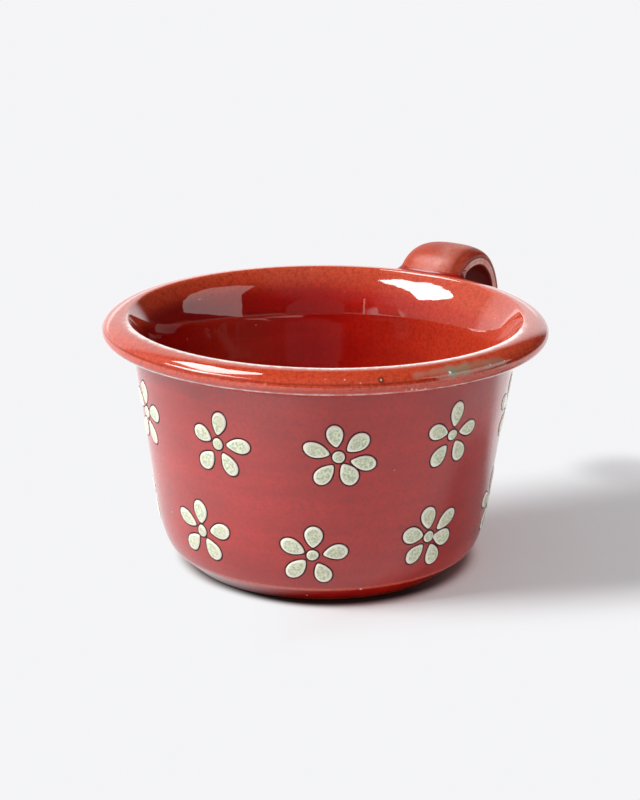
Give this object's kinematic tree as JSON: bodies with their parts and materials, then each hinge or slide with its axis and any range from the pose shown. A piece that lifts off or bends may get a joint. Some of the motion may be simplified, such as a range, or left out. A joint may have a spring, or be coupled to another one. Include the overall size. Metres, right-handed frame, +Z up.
{
  "type": "espresso cup",
  "caption": "Small thrown clay cup with a rolled rim, a chamfered foot, a high strap handle and dabbed slip daisies on its tapered wall.",
  "frame": {"origin": "centre of the flat base, on the surface that the cup stands on", "axes": "+Z up along the axis of the wheel, +X from that axis towards the handle, +Y completes the right-handed frame"},
  "size_m": [0.0943, 0.0772, 0.0479],
  "materials": {
    "red_glazed_clay": "gloss transparent glaze over red clay",
    "red_glazed_clay_handle": "gloss transparent glaze over red clay",
    "joint_clay": "gloss transparent glaze over red clay, a little thicker in the joints",
    "pale_slip": "pale slip under gloss glaze"
  },
  "bodies": {
    "root": {"cup_body": "red_glazed_clay", "handle_strap": "red_glazed_clay_handle", "upper_joint_roll": "joint_clay", "lower_joint_collar": "joint_clay", "upper_flower_1": "pale_slip", "upper_flower_2": "pale_slip", "upper_flower_3": "pale_slip", "upper_flower_4": "pale_slip", "upper_flower_5": "pale_slip", "upper_flower_6": "pale_slip", "upper_flower_7": "pale_slip", "upper_flower_8": "pale_slip", "upper_flower_9": "pale_slip", "lower_flower_1": "pale_slip", "lower_flower_2": "pale_slip", "lower_flower_3": "pale_slip", "lower_flower_4": "pale_slip", "lower_flower_5": "pale_slip", "lower_flower_6": "pale_slip", "lower_flower_7": "pale_slip", "lower_flower_8": "pale_slip"}
  },
  "joints": []
}
